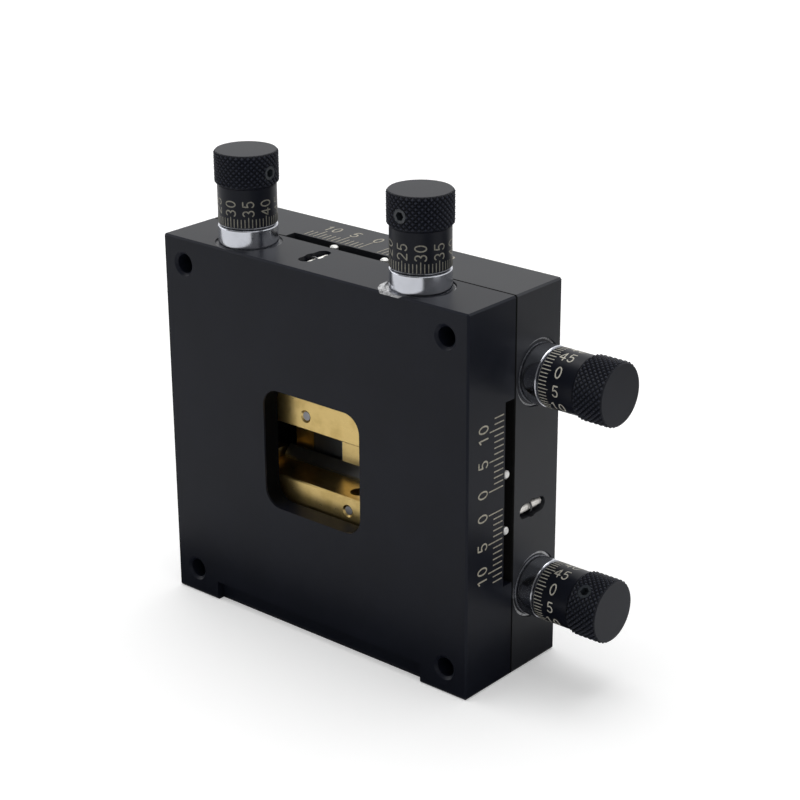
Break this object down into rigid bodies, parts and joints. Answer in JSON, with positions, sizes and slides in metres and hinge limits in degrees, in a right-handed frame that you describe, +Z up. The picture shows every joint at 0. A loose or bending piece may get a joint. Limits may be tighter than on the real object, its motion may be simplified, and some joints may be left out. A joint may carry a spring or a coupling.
{
  "type": "adjustable optical slit",
  "caption": "Square two-axis adjustable optical slit: crossed brass jaws with steel knives behind a window, each driven by a graduated knob, with engraved side scales.",
  "frame": {"origin": "on the optical axis, in the outer face of the front housing, at the centre of its four corner holes", "axes": "+Y along the optical axis into the slit, +Z up towards the two front knobs, +X right towards the two rear knobs"},
  "size_m": [0.0806, 0.0234, 0.0806],
  "materials": {
    "black_aluminium": "satin black anodised",
    "brass": "machined, satin",
    "ground_steel": "ground",
    "bright_steel": "bright ground bar",
    "spring_steel": "drawn wire",
    "polished_steel": "polished",
    "black_steel": "black oxide"
  },
  "bodies": {
    "housing": {"front_housing": "black_aluminium", "rear_housing": "black_aluminium", "corner_screws": "black_steel", "front_left_rod": "bright_steel", "front_right_rod": "bright_steel", "rear_lower_rod": "bright_steel", "rear_upper_rod": "bright_steel", "upper_sleeve": "polished_steel", "upper_wall_pin": "bright_steel", "upper_spring": "spring_steel", "lower_sleeve": "polished_steel", "lower_wall_pin": "bright_steel", "lower_spring": "spring_steel", "left_sleeve": "polished_steel", "left_wall_pin": "bright_steel", "left_spring": "spring_steel", "right_sleeve": "polished_steel", "right_wall_pin": "bright_steel", "right_spring": "spring_steel"},
    "upper_slide": {"upper_carriage": "brass", "upper_knife": "ground_steel", "upper_knife_screws": "black_steel", "upper_carriage_pin": "bright_steel", "upper_index_pin": "bright_steel"},
    "upper_knob": {"upper_lead_screw": "bright_steel", "upper_thimble": "black_aluminium", "upper_cap": "black_aluminium", "upper_set_screw": "black_steel"},
    "lower_slide": {"lower_carriage": "brass", "lower_knife": "ground_steel", "lower_knife_screws": "black_steel", "lower_carriage_pin": "bright_steel", "lower_index_pin": "bright_steel"},
    "lower_knob": {"lower_lead_screw": "bright_steel", "lower_thimble": "black_aluminium", "lower_cap": "black_aluminium", "lower_set_screw": "black_steel"},
    "left_slide": {"left_carriage": "brass", "left_knife": "ground_steel", "left_knife_screws": "black_steel", "left_carriage_pin": "bright_steel", "left_index_pin": "bright_steel"},
    "left_knob": {"left_lead_screw": "bright_steel", "left_thimble": "black_aluminium", "left_cap": "black_aluminium", "left_set_screw": "black_steel"},
    "right_slide": {"right_carriage": "brass", "right_knife": "ground_steel", "right_knife_screws": "black_steel", "right_carriage_pin": "bright_steel", "right_index_pin": "bright_steel"},
    "right_knob": {"right_lead_screw": "bright_steel", "right_thimble": "black_aluminium", "right_cap": "black_aluminium", "right_set_screw": "black_steel"}
  },
  "joints": [
    {"name": "upper_knob_turn", "type": "hinge", "parent": "housing", "child": "upper_knob", "pos_m": [-0.0184, 0.00585, 0.0325], "axis": [0, 0, 1], "range_deg": [-7713.2, 923.6]},
    {"name": "upper_jaw_slide", "type": "slide", "parent": "housing", "child": "upper_slide", "axis": [0, 0, 1], "range_m": [-0.00128, 0.01071], "deforming": ["upper_spring"]},
    {"name": "lower_knob_turn", "type": "hinge", "parent": "housing", "child": "lower_knob", "pos_m": [0.0184, 0.00585, 0.0325], "axis": [0, 0, 1], "range_deg": [-5481.2, 3155.6]},
    {"name": "lower_jaw_slide", "type": "slide", "parent": "housing", "child": "lower_slide", "axis": [0, 0, -1], "range_m": [-0.00438, 0.00761], "deforming": ["lower_spring"]},
    {"name": "left_knob_turn", "type": "hinge", "parent": "housing", "child": "left_knob", "pos_m": [0.0325, 0.01755, 0.0184], "axis": [1, 0, 0], "range_deg": [-5661.2, 2975.6]},
    {"name": "left_jaw_slide", "type": "slide", "parent": "housing", "child": "left_slide", "axis": [-1, 0, 0], "range_m": [-0.00413, 0.00786], "deforming": ["left_spring"]},
    {"name": "right_knob_turn", "type": "hinge", "parent": "housing", "child": "right_knob", "pos_m": [0.0325, 0.01755, -0.0184], "axis": [1, 0, 0], "range_deg": [-6705.2, 1931.6]},
    {"name": "right_jaw_slide", "type": "slide", "parent": "housing", "child": "right_slide", "axis": [1, 0, 0], "range_m": [-0.00268, 0.00931], "deforming": ["right_spring"]}
  ],
  "couplings": [
    {"joint": "upper_knob_turn", "follows": "upper_jaw_slide", "rad_per_m": -12566},
    {"joint": "lower_knob_turn", "follows": "lower_jaw_slide", "rad_per_m": -12566},
    {"joint": "left_knob_turn", "follows": "left_jaw_slide", "rad_per_m": -12566},
    {"joint": "right_knob_turn", "follows": "right_jaw_slide", "rad_per_m": -12566}
  ]
}
